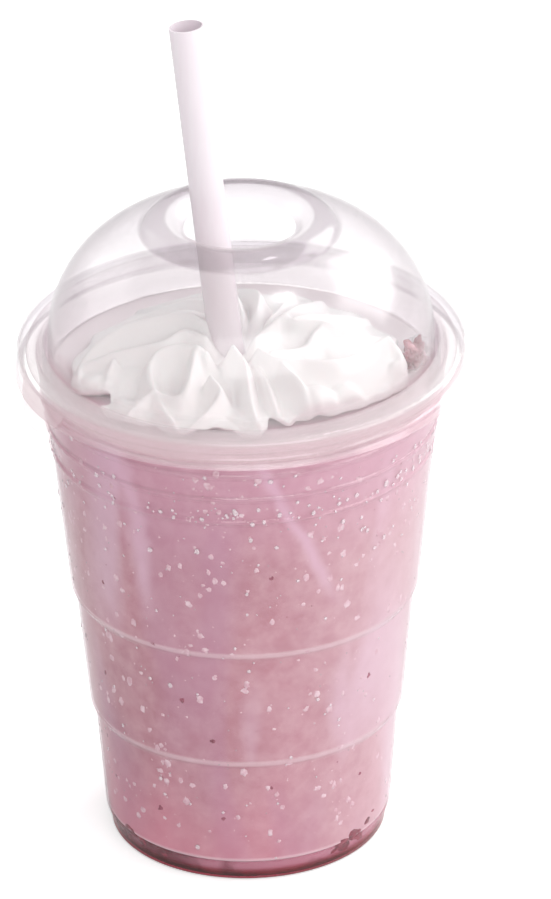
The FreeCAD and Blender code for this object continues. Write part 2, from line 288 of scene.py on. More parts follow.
# Painted shade: the ring round the hole is tinted grey for the darker things its slopes reflect.
ring_painted_shade = add(tree, "ShaderNodeMix", {"data_type": "RGBA", 7: linear("#E7E3E5")},
             {0: band.outputs[0], 6: tint})
nearer = add(tree, "ShaderNodeMapRange", {"From Min": -12.0 * MM, "From Max": 14.0 * MM,
                                          "To Min": 1.0, "To Max": 0.0}, {"Value": apart.outputs[1]})
farther = add(tree, "ShaderNodeMath", {"operation": "SUBTRACT", 0: 1.0}, {1: nearer.outputs[0]})
dull = add(tree, "ShaderNodeMix", {"data_type": "RGBA", "blend_type": "MULTIPLY", 7: linear("#FCFCFD")},
           {0: farther.outputs[0], 6: ring_painted_shade.outputs[2]})

# %% Lid's haze, with the shake's pink painted on its skirt
DOME_HAZE, RIM_HAZE, FAR_RIM_HAZE = 0.065, 0.18, 0.03
RIM_TOP, SKIRT_TOP = 125.0 * MM, 122.4 * MM
cloudy, hazy = thin_wall(tree, out, place, dull.outputs[2], "#F6F5F5", DOME_HAZE, 0.19)
misted = add(tree, "ShaderNodeMapRange", {"To Min": FAR_RIM_HAZE, "To Max": RIM_HAZE},
             {"Value": nearer.outputs[0]})
thick = add(tree, "ShaderNodeMapRange", {"From Min": RIM_TOP, "From Max": RIM_TOP + 1.5 * MM,
                                         "To Max": DOME_HAZE},
            {"Value": apart.outputs[2], "To Min": misted.outputs[0]})
tree.links.new(thick.outputs[0], hazy.inputs[0])
skirt = add(tree, "ShaderNodeMapRange", {"From Min": SKIRT_TOP, "From Max": SKIRT_TOP + 0.8 * MM,
                                         "To Max": 0.0},
            {"Value": apart.outputs[2], "To Min": nearer.outputs[0]})
# Painted light: the front skirt's haze takes the shake's pink.
skirt_painted_pink = add(tree, "ShaderNodeMix", {"data_type": "RGBA", 6: linear("#F6F5F5"), 7: linear("#F2D7DE")},
           {0: skirt.outputs[0]})
tree.links.new(skirt_painted_pink.outputs[2], cloudy.inputs["Color"])
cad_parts["dome_lid"].material_slots[0].material = lid_pet
print("lid:", lid_pet.name)

# %% [markdown]
# The straw is extruded polypropylene, tinted a pale lilac. Its wall is milky: it lets light through but blurs
# it, so most of what is seen is its own colour. The die leaves faint lines along it, far finer than can be
# seen from here, so they are drawn a millimetre wide, as a noise that is stretched along the straw. Its
# inside gets a painted mauve shade where the tube closes round it, for the light that does not reach in.

# %% Straw
DIE_LINE, DIE_RUN = 1.111, 83.33        # millimetres across and along
straw_pp, tree, out = new_material("milky_lilac_polypropylene_extruded")
place = add(tree, "ShaderNodeTexCoord")
along = add(tree, "ShaderNodeMapping", {"Scale": (every(DIE_LINE), every(DIE_LINE), every(DIE_RUN))},
            {"Vector": place.outputs["Object"]})
lines = add(tree, "ShaderNodeTexNoise", {"Scale": 1.0, "Detail": 2.0}, {"Vector": along.outputs[0]})
bump = add(tree, "ShaderNodeBump", {"Strength": 0.15, "Distance": 0.05 * MM},
           {"Height": lines.outputs["Fac"]})
tone = add(tree, "ShaderNodeMix", {"data_type": "RGBA", 6: linear("#FCF0F7"), 7: linear("#FFF9FD")},
           {0: lines.outputs["Fac"]})
# Painted shade: the straw's inside turns mauve where it is shut in.
shut_in = add(tree, "ShaderNodeAmbientOcclusion", {"samples": 8, "Distance": 7.0 * MM})
straw_inside_painted_shade = add(tree, "ShaderNodeMapRange", {"From Min": 0.03, "From Max": 0.26, "To Min": 0.75, "To Max": 0.0},
           {"Value": shut_in.outputs["AO"]})
tone = add(tree, "ShaderNodeMix", {"data_type": "RGBA", 7: linear("#9C7088")},
           {0: straw_inside_painted_shade.outputs[0], 6: tone.outputs[2]})
body = add(tree, "ShaderNodeBsdfPrincipled", {"Roughness": 0.16, "IOR": 1.49},
           {"Base Color": tone.outputs[2], "Normal": bump.outputs[0]})
through = add(tree, "ShaderNodeBsdfTranslucent", None, {"Color": tone.outputs[2]})
milky = add(tree, "ShaderNodeMixShader", {0: 0.12}, {1: body.outputs[0], 2: through.outputs[0]})
clear = add(tree, "ShaderNodeBsdfTransparent", {"Color": linear("#F7F0F5")})
wall = add(tree, "ShaderNodeMixShader", {0: 0.04}, {1: milky.outputs[0], 2: clear.outputs[0]})
tree.links.new(wall.outputs[0], out.inputs["Surface"])
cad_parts["straw"].material_slots[0].material = straw_pp
print("straw:", straw_pp.name)

# %% [markdown]
# The drink fills the cup, so its side is the cup's inside. Instead of repeating
# the cup's sizes, rays are shot at the designed drink from outside, one for each
# height, and the distance at which they stop is the outline to turn. The new
# piece is a tenth of a millimetre larger, so it reaches just into the wall and no
# air shows between them.

# %% Outline of a filling
RAY_START = 0.08            # metres from the axis, outside the cup
RAY_AZIMUTH = math.radians(80.0)
bodies = {}


def outline(node, height):
    """The radius of a designed body at a height, met by a ray from outside."""
    if node not in bodies:
        bodies[node] = BVHTree.FromObject(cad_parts[node], bpy.context.evaluated_depsgraph_get())
    way = Vector((math.cos(RAY_AZIMUTH), math.sin(RAY_AZIMUTH), 0.0))
    hit = bodies[node].ray_cast(way * RAY_START + Vector((0, 0, height)), -way)[0]
    return math.hypot(hit.x, hit.y)


# %% [markdown]
# A lathe makes both fillings: an outline of radii and heights is turned about the
# cup's axis, and closed at its top and foot, so that it is a solid body.

# %% Turned bodies
def turned(name, profile, turns, wobble=None):
    """A closed body turned about the cup's axis, from (radius, height) pairs."""
    mesh = bpy.data.meshes.new(name)
    verts = [(0.0, 0.0, profile[0][1])]
    for radius, height in profile[1:-1]:
        for k in range(turns):
            a = 2 * math.pi * k / turns
            lift = wobble(radius, a, height) if wobble else 0.0
            verts.append((radius * math.cos(a), radius * math.sin(a), height + lift))
    verts.append((0.0, 0.0, profile[-1][1]))
    rings = len(profile) - 2
    faces = [(0, 1 + (k + 1) % turns, 1 + k) for k in range(turns)]
    for j in range(rings - 1):
        base = 1 + j * turns
        for k in range(turns):
            n = (k + 1) % turns
            faces.append((base + k, base + n, base + turns + n, base + turns + k))
    base = 1 + (rings - 1) * turns
    faces += [(base + k, base + (k + 1) % turns, len(verts) - 1) for k in range(turns)]
    mesh.from_pydata(verts, [], faces)
    mesh.shade_smooth()
    obj = bpy.data.objects.new(name, mesh)
    scene.collection.objects.link(obj)
    print(name + ":", len(faces), "faces")
    return obj


# %% Side of the drink
INTO_WALL = 0.1 * MM
ENDS = 0.1 * MM             # the first ray is so far above the drink's foot
RAY_STEP = 0.45 * MM
shake_low, shake_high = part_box("milkshake")
SHAKE_FOOT, SHAKE_LEVEL = shake_low[2], shake_high[2]
steps = int((SHAKE_LEVEL - SHAKE_FOOT - 2 * ENDS) / RAY_STEP)
heights = [SHAKE_FOOT + ENDS + i * RAY_STEP for i in range(steps + 1)]
side = [(outline("milkshake", height) + INTO_WALL, height) for height in heights]
print("drink:", len(side), "rings, radius", round(side[0][0] / MM, 1), "to", round(side[-1][0] / MM, 1), "mm")

# %% [markdown]
# The top of a blended drink is froth that has settled: a very low swell with a
# finer ripple on it. Only the top disc gets them, or the side would leave the wall.

# %% Body of the drink
SWELL, RIPPLE = 160, 480    # waves in a metre
ROUND = 160                 # points in one turn
TOP_SHARES = (0.995, 0.98, 0.96, 0.94, 0.92, 0.9, 0.88, 0.85, 0.8, 0.7, 0.55, 0.4, 0.2)


def froth(radius, angle, height):
    """The surface's low swell, only on the top disc."""
    if height < SHAKE_LEVEL - 0.02 * MM:
        return 0.0
    p = Vector((radius * math.cos(angle), radius * math.sin(angle), 0.0))
    return 0.25 * MM * noise.noise(p * SWELL) + 0.12 * MM * noise.noise(p * RIPPLE)


profile = [(0.0, SHAKE_FOOT)] + [(side[0][0] * f, SHAKE_FOOT) for f in (0.35, 0.7, 0.98)] + side
profile += [(side[-1][0] * f, SHAKE_LEVEL) for f in TOP_SHARES] + [(0.0, SHAKE_LEVEL)]
shake = turned("milkshake_body", profile, ROUND, froth)
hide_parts("milkshake")
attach(shake, "root")

# %% [markdown]
# A milkshake is fat, air and fruit in milk: opaque, pale dusty pink, and never
# quite even. Large soft clouds come from stirring, and finer mottling from crushed
# ice and fruit. Colour is laid on in coats, as a painter glazes: each coat mixes one
# more colour over the last, by a share that a noise or a place in the drink gives.

# %% Milkshake: clouds and mottling
CLOUD, MOTTLE = 38.46, 4.762            # millimetres across
shake_mix, tree, out = new_material("strawberry_milkshake_blended")
place = add(tree, "ShaderNodeTexCoord")
cloud = add(tree, "ShaderNodeTexNoise", {"Scale": every(CLOUD), "Detail": 3.0, "Distortion": 0.8},
            {"Vector": place.outputs["Object"]})
mottle = add(tree, "ShaderNodeTexNoise", {"Scale": every(MOTTLE), "Detail": 5.0, "Roughness": 0.62},
             {"Vector": place.outputs["Object"]})
base = add(tree, "ShaderNodeMix", {"data_type": "RGBA", 6: linear("#A96D7B"), 7: linear("#C48A97")},
           {0: cloud.outputs["Fac"]})
speck = add(tree, "ShaderNodeMapRange", {"From Min": 0.35, "From Max": 0.7, "To Max": 0.35},
            {"Value": mottle.outputs["Fac"]})
base = add(tree, "ShaderNodeMix", {"data_type": "RGBA", 7: linear("#E3C0CA")},
           {0: speck.outputs[0], 6: base.outputs[2]})

# %% [markdown]
# A spoon and the straw pull the froth down the wall in ribbons. They are long and
# upright, so their noise is stretched: 21 mm across and 111 mm along.

# %% Milkshake: ribbons
RIBBON_ACROSS, RIBBON_ALONG = 20.83, 111.1
pulled = add(tree, "ShaderNodeMapping",
             {"Scale": (every(RIBBON_ACROSS), every(RIBBON_ACROSS), every(RIBBON_ALONG))},
             {"Vector": place.outputs["Object"]})
ribbon = add(tree, "ShaderNodeTexNoise", {"Scale": 1.0, "Detail": 1.5, "Distortion": 0.6},
             {"Vector": pulled.outputs[0]})
for start, full, share, colour in ((0.58, 0.72, 0.55, "#DDBFD2"), (0.44, 0.30, 0.5, "#B57F9B")):
    here = add(tree, "ShaderNodeMapRange", {"From Min": start, "From Max": full, "To Max": share},
               {"Value": ribbon.outputs["Fac"]})
    base = add(tree, "ShaderNodeMix", {"data_type": "RGBA", 7: linear(colour)},
               {0: here.outputs[0], 6: base.outputs[2]})

# %% [markdown]
# The right side is painted paler, as painted light from the lamps on that side. Low down, syrup is drawn up
# into the shake in streaks, mostly on the left. The streaks' height is the drink's own height less a
# stretched noise.

# %% Milkshake: painted light on the right, and stained foot
STREAK_ACROSS, STREAK_ALONG, STREAK_RISE = 16.67, 71.43, 26.0 * MM
height = add(tree, "ShaderNodeSeparateXYZ", None, {0: place.outputs["Object"]})
# Painted light: paler towards the right.
painted_light_right = add(tree, "ShaderNodeMapRange", {"From Min": 8.0 * MM, "From Max": 42.0 * MM, "To Max": 0.44},
           {"Value": height.outputs[0]})
base = add(tree, "ShaderNodeMix", {"data_type": "RGBA", 7: linear("#EDD9DF")},
           {0: painted_light_right.outputs[0], 6: base.outputs[2]})
drawn = add(tree, "ShaderNodeMapping",
            {"Scale": (every(STREAK_ACROSS), every(STREAK_ACROSS), every(STREAK_ALONG))},
            {"Vector": place.outputs["Object"]})
streak = add(tree, "ShaderNodeTexNoise", {"Scale": 1.0, "Detail": 3.0}, {"Vector": drawn.outputs[0]})
lift = add(tree, "ShaderNodeMath", {"operation": "MULTIPLY", 1: -STREAK_RISE}, {0: streak.outputs["Fac"]})
low = add(tree, "ShaderNodeMath", {"operation": "ADD"}, {0: height.outputs[2], 1: lift.outputs[0]})
stain = add(tree, "ShaderNodeMapRange", {"From Min": -12.0 * MM, "From Max": 17.0 * MM,
                                         "To Min": 0.8, "To Max": 0.0}, {"Value": low.outputs[0]})
sided = add(tree, "ShaderNodeMapRange", {"From Min": -20.0 * MM, "From Max": 18.0 * MM,
                                         "To Min": 0.9, "To Max": 0.05}, {"Value": height.outputs[0]})
stain = add(tree, "ShaderNodeMath", {"operation": "MULTIPLY"}, {0: stain.outputs[0], 1: sided.outputs[0]})
base = add(tree, "ShaderNodeMix", {"data_type": "RGBA", 7: linear("#E08AA0")},
           {0: stain.outputs[0], 6: base.outputs[2]})

# %% [markdown]
# Every ledge of the wall gets a painted highlight: a pale line above the foot's step, and a pale line at each
# of the two stacking shoulders, which stand about 32 and 62 mm up.

# %% Milkshake: painted highlights at the ledges
SHOULDERS = (32.4, 62.6)
# Painted highlight: a pale line above the foot's step.
foot_step_highlight = add(tree, "ShaderNodeMapRange", {"From Min": SHAKE_FOOT + 0.5 * MM, "From Max": SHAKE_FOOT + 1.3 * MM,
                                         "To Min": 0.85, "To Max": 0.0}, {"Value": height.outputs[2]})
base = add(tree, "ShaderNodeMix", {"data_type": "RGBA", 7: linear("#E9CBD4")},
           {0: foot_step_highlight.outputs[0], 6: base.outputs[2]})
for shoulder in SHOULDERS:
    away = add(tree, "ShaderNodeMath", {"operation": "SUBTRACT", 1: shoulder * MM}, {0: height.outputs[2]})
    away = add(tree, "ShaderNodeMath", {"operation": "ABSOLUTE"}, {0: away.outputs[0]})
    # Painted highlight: a pale line at this shoulder.
    shoulder_highlight = add(tree, "ShaderNodeMapRange", {"interpolation_type": "SMOOTHSTEP", "From Min": 0.3 * MM,
                                             "From Max": 1.3 * MM, "To Min": 0.5, "To Max": 0.0},
                {"Value": away.outputs[0]})
    base = add(tree, "ShaderNodeMix", {"data_type": "RGBA", 7: linear("#EBD3DA")},
               {0: shoulder_highlight.outputs[0], 6: base.outputs[2]})

# %% [markdown]
# Two pale lilac streaks of painted highlight run down the front from under the lid, where the wall mirrors a
# light. Each is a band along a slanting line, bent by the clouds. It is a product of three shares: how near a
# point is to the line, how high it is, and whether it is on the front.

# %% Milkshake: painted highlight streaks
# Painted highlight streaks along slanting lines.
GLOSS_STREAKS = [      # millimetres: x and z of the top end, x and z of the lower end, half width
    (-28.4, 113.0, -21.0, 74.0, 3.4),
    (4.0, 114.0, 19.5, 78.0, 3.0),
]
GLOSS_BEND, GLOSS_FADE, GLOSS_SHARE = 14.0, 8, 0.6
bend = add(tree, "ShaderNodeMath", {"operation": "MULTIPLY_ADD", 1: GLOSS_BEND * MM, 2: -GLOSS_BEND / 2 * MM},
           {0: cloud.outputs["Fac"]})
front = add(tree, "ShaderNodeMapRange", {"From Min": -8.0 * MM, "From Max": 0.0,
                                         "To Min": 1.0, "To Max": 0.0}, {"Value": height.outputs[1]})
for x_top, z_top, x_low, z_low, wide in GLOSS_STREAKS:
    slope = (x_low - x_top) / (z_low - z_top)
    line_x = add(tree, "ShaderNodeMath",
                 {"operation": "MULTIPLY_ADD", 1: -slope, 2: (slope * z_top - x_top) * MM},
                 {0: height.outputs[2]})
    off = add(tree, "ShaderNodeMath", {"operation": "ADD"}, {0: height.outputs[0], 1: line_x.outputs[0]})
    off = add(tree, "ShaderNodeMath", {"operation": "ADD"}, {0: off.outputs[0], 1: bend.outputs[0]})
    off = add(tree, "ShaderNodeMath", {"operation": "ABSOLUTE"}, {0: off.outputs[0]})
    near = add(tree, "ShaderNodeMapRange", {"interpolation_type": "SMOOTHSTEP", "From Min": 0.0,
                                            "From Max": wide * MM, "To Min": GLOSS_SHARE, "To Max": 0.0},
               {"Value": off.outputs[0]})
    until = add(tree, "ShaderNodeMapRange", {"interpolation_type": "SMOOTHSTEP",
                                             "From Min": (z_low - GLOSS_FADE) * MM,
                                             "From Max": (z_low + GLOSS_FADE) * MM},
                {"Value": height.outputs[2]})
    gloss_streak = add(tree, "ShaderNodeMath", {"operation": "MULTIPLY"}, {0: near.outputs[0], 1: until.outputs[0]})
    gloss_streak = add(tree, "ShaderNodeMath", {"operation": "MULTIPLY"}, {0: gloss_streak.outputs[0], 1: front.outputs[0]})
    base = add(tree, "ShaderNodeMix", {"data_type": "RGBA", 7: linear("#DFBCD0")},
               {0: gloss_streak.outputs[0], 6: base.outputs[2]})

# %% [markdown]
# Under the ribs the shake turns a little lilac, where the clear ribs are thickest.
# Its top disc is white froth, thin in front of the cream and full behind it; the back is so white partly as
# painted light, for the lid's bright haze over it. The drink is wet and smooth, so its shader has the index
# of milk, 1.35, and a soft shine.

# %% Milkshake: ribs, froth with painted light behind, and shine
upper = add(tree, "ShaderNodeMapRange", {"From Min": 84.0 * MM, "From Max": 108.0 * MM, "To Max": 0.36},
            {"Value": height.outputs[2]})
base = add(tree, "ShaderNodeMix", {"data_type": "RGBA", 7: linear("#D9A3C0")},
           {0: upper.outputs[0], 6: base.outputs[2]})
# Froth, and painted light: whiter towards the back.
froth_and_light_behind = add(tree, "ShaderNodeMapRange", {"From Min": -12.0 * MM, "From Max": 12.0 * MM,
                                          "To Min": 0.25, "To Max": 0.95}, {"Value": height.outputs[1]})
froth_on = add(tree, "ShaderNodeMapRange",
               {"From Min": SHAKE_LEVEL - 0.9 * MM, "From Max": SHAKE_LEVEL - 0.2 * MM},
               {"Value": height.outputs[2], "To Max": froth_and_light_behind.outputs[0]})
base = add(tree, "ShaderNodeMix", {"data_type": "RGBA", 7: linear("#F6EFF1")},
           {0: froth_on.outputs[0], 6: base.outputs[2]})
bump = add(tree, "ShaderNodeBump", {"Strength": 0.25, "Distance": 0.1 * MM},
           {"Height": mottle.outputs["Fac"]})
milk = add(tree, "ShaderNodeBsdfPrincipled", {"Roughness": 0.38, "IOR": 1.35},
           {"Base Color": base.outputs[2], "Normal": bump.outputs[0]})
tree.links.new(milk.outputs[0], out.inputs["Surface"])
shake.data.materials.append(shake_mix)
print("milkshake:", len(tree.nodes), "nodes")

# %% [markdown]
# The syrup lies in the foot of the cup, under the shake. Its side comes from rays,
# as the drink's does, and so does its underside, which follows the cup's raised
# floor: rays go up from below the table.

# %% Syrup in the foot
SYRUP_STEPS = 12
UNDERSIDE = (0, 8, 16, 22, 24, 25, 26, 27, 28, 29, 30, 30.6)     # radii in millimetres
syrup_low, syrup_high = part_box("strawberry_syrup")
SYRUP_FOOT, SYRUP_LEVEL = syrup_low[2], syrup_high[2]
heights = [SYRUP_FOOT + 0.15 * MM + (SYRUP_LEVEL - SYRUP_FOOT - 0.2 * MM) * i / SYRUP_STEPS
           for i in range(SYRUP_STEPS + 1)]
foot_side = [(outline("strawberry_syrup", height) + INTO_WALL, height) for height in heights]


def floor_of(radius):
    """Height of the designed syrup's underside, met by a ray from below."""
    hit = bodies["strawberry_syrup"].ray_cast(Vector((0.0, radius, -0.01)), Vector((0, 0, 1)))[0]
    return hit.z if hit else SYRUP_FOOT


profile = [(r * MM, floor_of(r * MM)) for r in UNDERSIDE] + foot_side
profile += [(foot_side[-1][0] * f, SYRUP_LEVEL) for f in (0.8, 0.4)] + [(0.0, SYRUP_LEVEL)]
syrup = turned("strawberry_syrup_foot", profile, ROUND)
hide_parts("strawberry_syrup")
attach(syrup, "root")

# %% [markdown]
# Boiled strawberry syrup is clear dark red, so it looks almost black where it is deep and pink where the
# shake shines in. A swirled noise says how deep it is. A share is taken from it towards the left and in the
# lowest two millimetres, so the syrup is darker there, and a little is added elsewhere.

# %% Syrup's finish
SWIRL = 16.67               # millimetres across
syrup_mix, tree, out = new_material("strawberry_syrup_boiled")
place = add(tree, "ShaderNodeTexCoord")
swirl = add(tree, "ShaderNodeTexNoise", {"Scale": every(SWIRL), "Detail": 3.0, "Distortion": 1.5},
            {"Vector": place.outputs["Object"]})
spot = add(tree, "ShaderNodeSeparateXYZ", None, {0: place.outputs["Object"]})
# Darker towards the left and in the lowest two millimetres.
left_darkening = add(tree, "ShaderNodeMapRange", {"From Min": -27.0 * MM, "From Max": -8.0 * MM,
                                           "To Min": -0.20, "To Max": 0.12}, {"Value": spot.outputs[0]})
low_darkening = add(tree, "ShaderNodeMapRange", {"From Min": 0.6 * MM, "From Max": 2.0 * MM,
                                        "To Min": -0.30, "To Max": 0.0}, {"Value": spot.outputs[2]})
sweet = add(tree, "ShaderNodeMath", {"operation": "ADD"}, {0: left_darkening.outputs[0], 1: low_darkening.outputs[0]})
sweet = add(tree, "ShaderNodeMath", {"operation": "ADD"}, {0: sweet.outputs[0], 1: swirl.outputs["Fac"]})
tone = add(tree, "ShaderNodeValToRGB", None, {0: sweet.outputs[0]})
for stop, position, colour in zip(tone.color_ramp.elements, (0.30, 0.58), ("#660C28", "#B87488")):
    stop.position, stop.color = position, linear(colour)
sauce = add(tree, "ShaderNodeBsdfPrincipled", {"Roughness": 0.18, "IOR": 1.42},
            {"Base Color": tone.outputs[0]})
tree.links.new(sauce.outputs[0], out.inputs["Surface"])
syrup.data.materials.append(syrup_mix)
print("syrup reaches", round(SYRUP_LEVEL / MM, 1), "mm above the table")

# %% [markdown]
# Whipped cream from a star nozzle falls in soft folds, like heavy cloth: sharp
# crests with hollow flanks between them, flaring out where they meet the drink.
# A sculptor would pull each fold by hand. Here each crest is a line of points,
# and the surface is the highest of all the flanks that fall away from them.
# The first group is what the customer sees in front, and the second goes on
# round the back. Each fold is named above its points, which are x, y and z.

# %% Crests of the cream, in millimetres
FRONT_CRESTS = [
    # back ribbon, rim
    [(-36.8, -3.0, 120), (-34.1, -0.3, 123.5), (-27.6, 2.3, 127),
     (-19.4, 3.2, 128.5), (-12.3, 3.3, 129.3), (-7.7, 0.0, 128.5)],
    # back ribbon, inner fold
    [(-36.8, -3.0, 120), (-30.9, -2.8, 122.5), (-23.8, -2.8, 124),
     (-17.4, -3.2, 125.5), (-13.1, -0.8, 127), (-8.1, -3.1, 126.5)],
    # left tip
    [(-36.8, -3.0, 120), (-37.2, -7.5, 118.5), (-36.3, -12.7, 116.8)],
    # left lip
    [(-36.3, -12.7, 116.8), (-34.2, -12.0, 117.6), (-31.7, -11.0, 119)],
    # left ridge
    [(-29.1, -5.1, 122.3), (-31.3, -12.1, 119.6), (-32.0, -18.2, 117.6), (-31.3, -22.9, 116.8)],
    # left fold
    [(-21.3, -10.6, 124.2), (-20.8, -14.8, 122.8), (-19.9, -19.1, 121.4)],
    # V left
    [(-19.9, -19.1, 121.4), (-22.4, -21.2, 120.4), (-25.3, -23.8, 118.8), (-27.6, -27.5, 117.2)],
    # V right
    [(-19.9, -19.1, 121.4), (-18.2, -23.3, 120), (-16.1, -27.9, 118.4), (-14.4, -32.2, 117)],
    # curl dome
    [(-20.8, -13.3, 122.8), (-20.4, -9.8, 124.6), (-18.4, -8.0, 126),
     (-14.5, -7.4, 127), (-10.3, -8.6, 127), (-8.1, -9.9, 126)],
    # curl edge
    [(-10.3, -8.6, 127), (-11.4, -14.4, 126), (-11.9, -19.7, 124.4),
     (-13.6, -22.6, 122.6), (-16.7, -21.8, 121.6), (-19.9, -19.1, 121.4)],
    # centre lobe, left edge
    [(-7.1, -18.7, 124.6), (-4.9, -22.2, 122.8), (-7.2, -26.0, 120.4),
     (-10.5, -29.3, 118.6), (-13.7, -33.2, 117.3)],
    # centre lobe, lip
    [(-13.7, -33.2, 117.6), (-10.5, -32.6, 118.2), (-6.3, -31.7, 118.8),
     (-1.3, -32.7, 118.4), (2.9, -34.0, 117.6), (4.7, -32.0, 117.6)],
    # spine
    [(-1.9, -7.0, 126), (0.7, -13.7, 125.2), (1.5, -20.2, 122.8),
     (2.3, -25.5, 120), (4.0, -30.9, 117.6)],
    # right a
    [(3.4, -13.1, 124.3), (5.8, -19.1, 122.6), (7.2, -23.8, 120.2), (8.6, -27.6, 118)],
    # right b
    [(9.5, -16.1, 126), (13.3, -20.6, 124.4), (15.2, -24.8, 121.8), (16.7, -27.1, 119)],
    # right hem
    [(18.1, -27.2, 118.2), (22.1, -24.2, 117.8), (28.5, -20.3, 118),
     (33.5, -15.8, 118.4), (37.3, -10.9, 118.8)],
    # right top
    [(3.9, -10.6, 127), (8.1, -14.3, 126.8), (16.6, -14.9, 126.6),
     (23.7, -13.2, 126.4), (28.7, -9.2, 127), (33.4, -4.5, 128.5)],
    # right peak
    [(33.4, -4.5, 128.5), (35.9, -6.1, 126.5), (36.4, -8.9, 124.5),
     (34.7, -9.0, 123.6), (37.3, -10.9, 118.8)],
    # back right ridge
    [(3.2, -6.2, 127.5), (6.5, -2.2, 128.6), (10.1, 1.2, 129.6),
     (12.5, -0.9, 128.8), (18.2, -0.7, 128.6), (24.6, -3.2, 128)],
    # back right fold
    [(6.7, -11.8, 127), (13.8, -9.4, 126.6), (16.8, -3.7, 127.6), (18.6, -1.1, 128.6)],
]
print(len(FRONT_CRESTS), "folds in front")

# %% [markdown]
# Nobody has shaped the back by hand: nine crests stand round it at even steps, each
# turned and lengthened a little by seeded chance, and each curls out and down to
# the hem as the star nozzle leaves them.

# %% Crests at the back
BACK_COUNT = 9
BACK_START, BACK_SPAN = 8, 160          # degrees
random.seed(11)
back_crests = []
for k in range(BACK_COUNT):
    angle = math.radians(BACK_START + BACK_SPAN * k / (BACK_COUNT - 1) + random.uniform(-5, 5))
    twist = math.radians(random.uniform(16, 32))
    reach = random.uniform(35.5, 37.5)
    peak = random.uniform(126.6, 128.0)
    outward = ((8.0, -1.0, peak - 1), (15.0, -0.6, peak), (22.0, -0.2, peak - 2.6),
               (28.5, 0.1, 121.3), (reach, 0.3, 117.4))
    back_crests.append([(r * math.cos(angle + t * twist), 2 + r * math.sin(angle + t * twist), z)
                        for r, t, z in outward])
print(len(back_crests), "folds at the back")

# %% [markdown]
# The cream's plan is not round either. Its edge runs out at each fold and in
# between them, and the right front is pulled well back from the lid. Pairs of an
# angle and a radius give it, with a smooth step from each to the next.

# %% Edge of the cream, as (degrees, millimetres)
EDGE = [(3, 37.0), (12, 36.4), (22, 38.4), (33, 36.6), (46, 38.2), (58, 36.8), (70, 39.2), (84, 38.0),
        (97, 39.8), (110, 37.6), (124, 38.8), (137, 36.8), (150, 38.2), (163, 36.6), (176, 38.8),
        (184, 38.6), (191, 39.6), (196, 38.8), (200, 35.4), (203, 32.6), (207, 33.4), (211, 37.8),
        (215, 38.3), (219, 36.6), (224, 38.2), (228, 35.6), (233, 33.0), (238, 34.2), (242, 35.6),
        (247, 34.8), (252, 32.2), (259, 31.4), (266, 31.8), (272, 33.8), (276, 33.6), (280, 30.4),
        (283, 26.6), (287, 28.4), (291, 29.6), (296, 28.0), (302, 29.4), (307, 30.4), (316, 31.1),
        (328, 33.7), (338, 36.2), (346, 38.8), (352, 38.0)]
ROUND_EDGE = [(d - 360, r) for d, r in EDGE[-2:]] + EDGE + [(d + 360, r) for d, r in EDGE[:2]]


def edge_radius(angle):
    """The cream's reach in metres towards an angle in radians."""
    a = math.degrees(angle) % 360
    for (a0, r0), (a1, r1) in zip(ROUND_EDGE, ROUND_EDGE[1:]):
        if a0 <= a <= a1:
            t = (a - a0) / (a1 - a0)
            t = t * t * (3 - 2 * t)
            return (r0 + (r1 - r0) * t) * MM


print("cream reaches", min(r for _, r in EDGE), "to", max(r for _, r in EDGE), "mm from the axis")

# %% [markdown]
# Each flank falls from its crest quickly at first and then levels out, as soft
# cream does, and the crest itself is rounded by a millimetre. Where two flanks
# meet they are blended, so that the valley has no crack.

# %% Flank of one crest
FLANK_WIDTH = 2.7           # millimetres over which a flank falls by two thirds
VALLEY_DEPTH = 9.8
CREST_ROUNDING = 1.0
FLANK_REACH = 16            # farther off than this a crest has no say


def smooth_line(points, parts=6):
    """More points on a crest, along a Catmull-Rom curve."""
    pts = [Vector(p) for p in points]
    pts = [2 * pts[0] - pts[1]] + pts + [2 * pts[-1] - pts[-2]]
    fine = []
    for a, b, c, d in zip(pts, pts[1:], pts[2:], pts[3:]):
        for i in range(parts):
            t = i / parts
            fine.append(0.5 * ((2 * b) + (c - a) * t + (2 * a - 5 * b + 4 * c - d) * t * t
                               + (3 * b - a - 3 * c + d) * t ** 3))
    return fine + [pts[-2]]


def flank(line, x, y):
    """Height of the surface that falls away from one crest, in millimetres."""
    best = -1e9
    for a, b in zip(line, line[1:]):
        ux, uy = b.x - a.x, b.y - a.y
        span = ux * ux + uy * uy
        t = 0.0 if span == 0 else min(1.0, max(0.0, ((x - a.x) * ux + (y - a.y) * uy) / span))
        away = math.hypot(x - a.x - t * ux, y - a.y - t * uy)
        if away > FLANK_REACH:
            continue
        top = a.z + (b.z - a.z) * t
        soft = math.sqrt(away * away + CREST_ROUNDING ** 2) - CREST_ROUNDING
        best = max(best, top - VALLEY_DEPTH * (1 - math.exp(-soft / FLANK_WIDTH)))
    return best


crests = [smooth_line(c) for c in FRONT_CRESTS + back_crests]
print(sum(len(c) for c in crests), "points on all the crests")

# %% [markdown]
# Two more things shape the surface: hollows, which a fold leaves beside it as it
# curls over, and round lobes, where the nozzle stopped and was lifted off.

# %% Height of the cream
HOLLOWS = [     # x, y, half widths in x and y, depth
    (-13.9, -13.6, 2.2, 3.6, 4.6), (-24.4, -12.6, 1.9, 3.6, 2.6), (-21.0, -26.5, 1.8, 2.4, 1.5),
    (-1.5, -16.0, 1.6, 5.0, 2.0), (-29.5, -15.5, 1.3, 3.0, 1.2)]
LOBES = [       # x, y, height of the centre, radius
    (17.2, -21.6, 118.2, 4.9), (23.6, -18.6, 118.0, 4.0), (-33.4, -9.0, 115.6, 4.2)]
VALLEY_TOP, VALLEY_FALL, VALLEY_CURVE = 119.6, 5.2, 1.6
BLEND = 0.35                # millimetres over which two flanks run together


